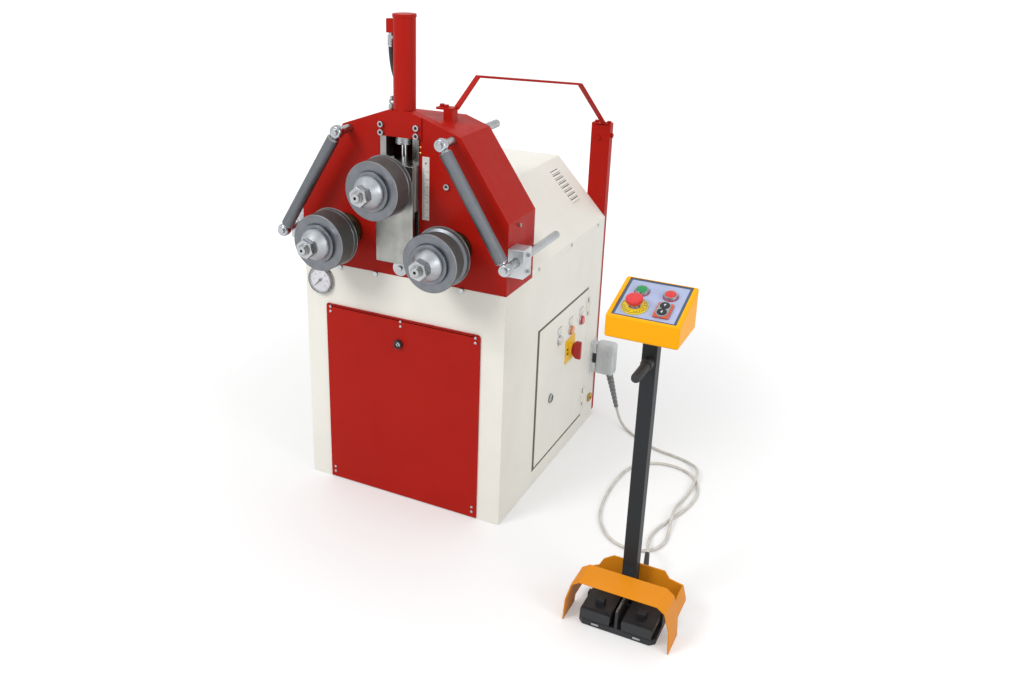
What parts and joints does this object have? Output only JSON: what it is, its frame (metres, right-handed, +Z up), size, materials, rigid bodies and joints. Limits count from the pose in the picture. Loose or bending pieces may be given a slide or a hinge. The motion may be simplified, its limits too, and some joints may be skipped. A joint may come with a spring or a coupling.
{
  "type": "ring roller",
  "caption": "Hydraulic section bending machine with overhung rolls on a sheet cabinet, joined by a cord to a push-button console with foot pedals.",
  "frame": {"origin": "on the floor under the middle of the cabinet, on the underside of its base plate", "axes": "+X to the right of someone facing the rolls, +Y from the rolls to the back of the cabinet, +Z up"},
  "size_m": [1.242, 1.065, 1.369],
  "materials": {
    "red_paint": "gloss",
    "cream_paint": "satin, fine texture",
    "machined_steel": "ground",
    "roll_steel": "turned and oiled, darker",
    "zinc": "bright zinc plate",
    "bronze": "bearing bronze",
    "hard_chrome": "polished",
    "hose_rubber": "matt",
    "yellow_paint": "satin",
    "panel_film": "matt film",
    "black_paint": "satin",
    "black_plastic": "moulded",
    "cord_grey": "soft sheath",
    "plug_grey": "moulded",
    "green_cap": "gloss",
    "red_cap": "gloss",
    "collar_mix": "gloss",
    "gauge_case": "satin",
    "needle_black": "matt",
    "motor_grey": "satin"
  },
  "bodies": {
    "root": {"base_plate": "black_paint", "cabinet_shell": "cream_paint", "front_panel": "red_paint", "hood": "cream_paint", "head_front_plate": "red_paint", "head_casing": "red_paint", "slide_rails": "machined_steel", "shaft_bushes": "bronze", "cylinder_barrel": "red_paint", "cylinder_hose": "hose_rubber", "gauge_body": "gauge_case", "mast": "red_paint", "lifting_bow": "red_paint", "gear_motor": "motor_grey", "power_pack": "motor_grey", "electrical_plate": "zinc", "guide_clamps": "machined_steel", "upper_guide_rods": "machined_steel", "door_hinges": "cream_paint", "post": "black_paint", "console_box": "yellow_paint", "console_panel": "panel_film", "button_collars": "collar_mix", "pedal_guard": "yellow_paint", "pedal_base": "black_plastic", "control_cord": "cord_grey", "plug_socket": "plug_grey", "plug": "plug_grey", "frame_bolts": "zinc", "cover_screws": "zinc"},
    "carriage": {"carriage_block": "machined_steel", "piston_rod": "hard_chrome"},
    "top_spindle": {"top_shaft": "machined_steel", "top_roll": "roll_steel", "top_roll_nut": "zinc"},
    "left_spindle": {"left_shaft": "machined_steel", "left_roll": "roll_steel", "left_roll_nut": "zinc"},
    "right_spindle": {"right_shaft": "machined_steel", "right_roll": "roll_steel", "right_roll_nut": "zinc"},
    "drive_wheel": {"drive_gear": "machined_steel"},
    "left_slide_rod": {"left_lower_rod": "machined_steel"},
    "right_slide_rod": {"right_lower_rod": "machined_steel"},
    "left_swing_arm": {"left_guide_arm": "machined_steel"},
    "right_swing_arm": {"right_guide_arm": "machined_steel"},
    "left_tube": {"left_guide_roller": "roll_steel"},
    "right_tube": {"right_guide_roller": "roll_steel"},
    "door": {"side_door": "cream_paint"},
    "door_latch": {"door_lock": "zinc"},
    "main_switch": {"switch_handle": "red_cap"},
    "needle": {"gauge_needle": "needle_black"},
    "panel_latch": {"panel_lock": "black_plastic"},
    "start_key": {"green_button": "green_cap"},
    "stop_key": {"red_button": "red_cap"},
    "raise_key": {"up_button": "black_plastic"},
    "lower_key": {"down_button": "black_plastic"},
    "emergency_stop": {"estop_button": "red_cap"},
    "left_treadle": {"left_pedal": "black_plastic"},
    "right_treadle": {"right_pedal": "black_plastic"}
  },
  "joints": [
    {"name": "carriage_slide", "type": "slide", "parent": "root", "child": "carriage", "axis": [0, 0, 1], "range_m": [-0.1, 0.04]},
    {"name": "top_roll_spin", "type": "hinge", "parent": "carriage", "child": "top_spindle", "pos_m": [0, -0.376, 0.956], "axis": [0, 1, 0], "continuous": true},
    {"name": "left_roll_spin", "type": "hinge", "parent": "root", "child": "left_spindle", "pos_m": [-0.1654, -0.376, 0.795], "axis": [0, 1, 0], "continuous": true},
    {"name": "right_roll_spin", "type": "hinge", "parent": "root", "child": "right_spindle", "pos_m": [0.1654, -0.376, 0.795], "axis": [0, 1, 0], "continuous": true},
    {"name": "drive_gear_spin", "type": "hinge", "parent": "root", "child": "drive_wheel", "pos_m": [0, -0.376, 0.73783], "axis": [0, 1, 0], "continuous": true},
    {"name": "left_rod_slide", "type": "slide", "parent": "root", "child": "left_slide_rod", "axis": [0, 1, 0], "range_m": [-0.03, 0.03]},
    {"name": "left_arm_tilt", "type": "hinge", "parent": "root", "child": "left_swing_arm", "pos_m": [-0.152, -0.436, 1.074], "axis": [0.847, 0, -0.5316], "range_deg": [-6, 6]},
    {"name": "left_tube_spin", "type": "hinge", "parent": "left_swing_arm", "child": "left_tube", "pos_m": [-0.152, -0.436, 1.074], "axis": [-0.5316, 0, -0.847], "continuous": true},
    {"name": "right_rod_slide", "type": "slide", "parent": "root", "child": "right_slide_rod", "axis": [0, 1, 0], "range_m": [-0.03, 0.03]},
    {"name": "right_arm_tilt", "type": "hinge", "parent": "root", "child": "right_swing_arm", "pos_m": [0.152, -0.436, 1.074], "axis": [0.847, 0, 0.5316], "range_deg": [-6, 6]},
    {"name": "right_tube_spin", "type": "hinge", "parent": "right_swing_arm", "child": "right_tube", "pos_m": [0.152, -0.436, 1.074], "axis": [0.5316, 0, -0.847], "continuous": true},
    {"name": "door_swing", "type": "hinge", "parent": "root", "child": "door", "pos_m": [0.317, 0.269, 0.278], "axis": [0, 0, 1], "range_deg": [0, 90]},
    {"name": "door_lock_turn", "type": "hinge", "parent": "door", "child": "door_latch", "pos_m": [0.313, -0.025, 0.242], "axis": [1, 0, 0], "range_deg": [0, 90]},
    {"name": "switch_turn", "type": "hinge", "parent": "door", "child": "main_switch", "pos_m": [0.324, 0.118, 0.35], "axis": [1, 0, 0], "range_deg": [-90, 0]},
    {"name": "needle_turn", "type": "hinge", "parent": "root", "child": "needle", "pos_m": [-0.258, -0.384, 0.633], "axis": [0, 1, 0], "range_deg": [0, 270], "stiffness_Nm_per_rad": 0.01},
    {"name": "panel_lock_turn", "type": "hinge", "parent": "root", "child": "panel_latch", "pos_m": [-0.005, -0.38, 0.49], "axis": [0, 1, 0], "range_deg": [0, 90]},
    {"name": "start_press", "type": "slide", "parent": "root", "child": "start_key", "axis": [0, 0.2998, -0.954], "range_m": [0, 0.003], "stiffness_N_per_m": 500, "springref_m": -0.002},
    {"name": "stop_press", "type": "slide", "parent": "root", "child": "stop_key", "axis": [0, 0.2998, -0.954], "range_m": [0, 0.003], "stiffness_N_per_m": 500, "springref_m": -0.002},
    {"name": "raise_press", "type": "slide", "parent": "root", "child": "raise_key", "axis": [0, 0.2998, -0.954], "range_m": [0, 0.003], "stiffness_N_per_m": 500, "springref_m": -0.002},
    {"name": "lower_press", "type": "slide", "parent": "root", "child": "lower_key", "axis": [0, 0.2998, -0.954], "range_m": [0, 0.003], "stiffness_N_per_m": 500, "springref_m": -0.002},
    {"name": "emergency_press", "type": "slide", "parent": "root", "child": "emergency_stop", "axis": [0, 0.2998, -0.954], "range_m": [0, 0.004], "stiffness_N_per_m": 800, "springref_m": -0.002},
    {"name": "left_pedal_press", "type": "hinge", "parent": "root", "child": "left_treadle", "pos_m": [0.748, -0.578, 0.036], "axis": [1, 0, 0], "range_deg": [0, 8], "stiffness_Nm_per_rad": 2, "springref_deg": -20.05},
    {"name": "right_pedal_press", "type": "hinge", "parent": "root", "child": "right_treadle", "pos_m": [0.748, -0.578, 0.036], "axis": [1, 0, 0], "range_deg": [0, 8], "stiffness_Nm_per_rad": 2, "springref_deg": -20.05}
  ],
  "couplings": [
    {"joint": "right_roll_spin", "follows": "left_roll_spin", "ratio": 1},
    {"joint": "drive_gear_spin", "follows": "left_roll_spin", "ratio": -0.75},
    {"joint": "left_arm_tilt", "follows": "left_rod_slide", "rad_per_m": 2.9207},
    {"joint": "right_arm_tilt", "follows": "right_rod_slide", "rad_per_m": 2.9207}
  ]
}
